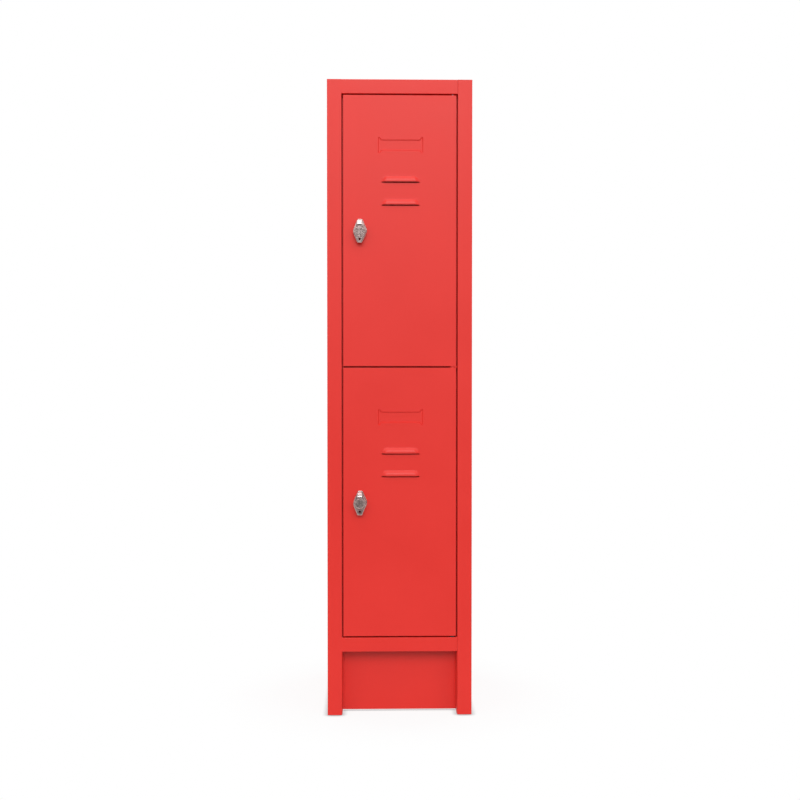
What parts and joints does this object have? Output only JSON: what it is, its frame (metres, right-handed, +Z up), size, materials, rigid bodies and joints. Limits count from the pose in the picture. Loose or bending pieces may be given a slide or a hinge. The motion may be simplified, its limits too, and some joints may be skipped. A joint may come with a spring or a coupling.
{
  "type": "compartment locker",
  "caption": "Tall narrow red steel compartment locker with doors one above the other, pressed louvres and label fields, padlock turn latches and a set-back plinth plate",
  "frame": {"origin": "on the floor, under the middle of the locker's bounding box", "axes": "+Z up, the front with the doors faces -Y, the hinges are at +X"},
  "size_m": [0.41, 0.5246, 1.8],
  "materials": {
    "red_paint": "red powder coat on steel sheet, satin",
    "zinc": "plated and die-cast zinc fittings, satin bright",
    "black_nylon": "black nylon washer, matt",
    "black_rubber": "black rubber buttons, matt"
  },
  "bodies": {
    "carcass": {"side_panel_left": "red_paint", "side_panel_right": "red_paint", "top_panel": "red_paint", "bottom_panel": "red_paint", "divider_shelf": "red_paint", "back_panel": "red_paint", "kick_plate": "red_paint", "middle_pivot_bracket": "red_paint", "top_pivot_pin": "zinc", "middle_pivot_pin": "zinc", "bottom_pivot_pin": "zinc", "bottom_pivot_washer": "black_nylon", "coat_hook_upper": "zinc", "coat_hook_lower": "zinc", "hook_rivet_upper_front": "zinc", "hook_rivet_upper_rear": "zinc", "hook_rivet_lower_front": "zinc", "hook_rivet_lower_rear": "zinc", "upper_door_buffer_low": "black_rubber", "upper_door_buffer_high": "black_rubber", "lower_door_buffer_low": "black_rubber", "lower_door_buffer_high": "black_rubber"},
    "upper_door": {"upper_door_panel": "red_paint", "upper_door_stiffener": "red_paint", "upper_latch_base": "zinc", "upper_latch_nut": "zinc"},
    "upper_latch": {"upper_latch_knob": "zinc", "upper_latch_cam": "zinc", "upper_cam_washer": "zinc", "upper_cam_screw": "zinc"},
    "lower_door": {"lower_door_panel": "red_paint", "lower_door_stiffener": "red_paint", "lower_latch_base": "zinc", "lower_latch_nut": "zinc"},
    "lower_latch": {"lower_latch_knob": "zinc", "lower_latch_cam": "zinc", "lower_cam_washer": "zinc", "lower_cam_screw": "zinc"}
  },
  "joints": [
    {"name": "upper_door_hinge", "type": "hinge", "parent": "carcass", "child": "upper_door", "pos_m": [0.15, -0.2287, 1.37425], "axis": [0, 0, 1], "range_deg": [0, 105]},
    {"name": "upper_latch_turn", "type": "hinge", "parent": "upper_door", "child": "upper_latch", "pos_m": [-0.1132, -0.2377, 1.3715], "axis": [0, 1, 0], "range_deg": [0, 180]},
    {"name": "lower_door_hinge", "type": "hinge", "parent": "carcass", "child": "lower_door", "pos_m": [0.15, -0.2287, 0.60675], "axis": [0, 0, 1], "range_deg": [0, 105]},
    {"name": "lower_latch_turn", "type": "hinge", "parent": "lower_door", "child": "lower_latch", "pos_m": [-0.1132, -0.2377, 0.604], "axis": [0, 1, 0], "range_deg": [0, 180]}
  ]
}
